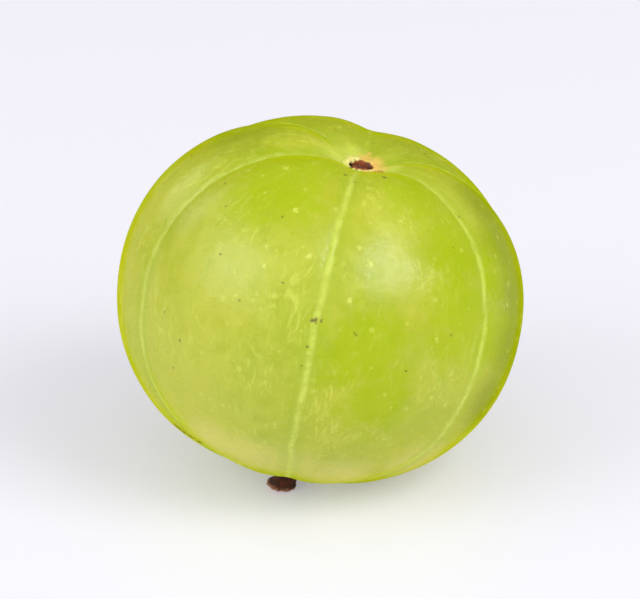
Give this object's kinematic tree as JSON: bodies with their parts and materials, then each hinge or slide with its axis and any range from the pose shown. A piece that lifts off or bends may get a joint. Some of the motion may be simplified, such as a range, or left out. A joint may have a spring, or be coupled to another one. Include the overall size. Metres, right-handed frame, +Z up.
{
  "type": "indian gooseberry",
  "caption": "Whole Indian gooseberry fruit lying on its belly: a flattened round fruit with shallow ribbed lobes, a small blossom-end scar and a dried stalk stub.",
  "frame": {"origin": "bottom centre of the fruit's box, on the surface it lies on", "axes": "+Z up, -Y towards the side from which both the blossom-end scar and the stalk stub can be seen; the fruit's own axis leans 15 degrees from +Z, towards +X and a little +Y"},
  "size_m": [0.028, 0.028, 0.0244],
  "materials": {
    "fruit_skin": "smooth waxy translucent yellow-green skin with a soft sheen, pale ribs and small specks",
    "dried_style": "dry dark brown, rough",
    "dried_stalk": "dry reddish brown, rough and fibrous"
  },
  "bodies": {
    "root": {"fruit": "fruit_skin", "style_remnant": "dried_style", "stalk_stub": "dried_stalk"}
  },
  "joints": []
}
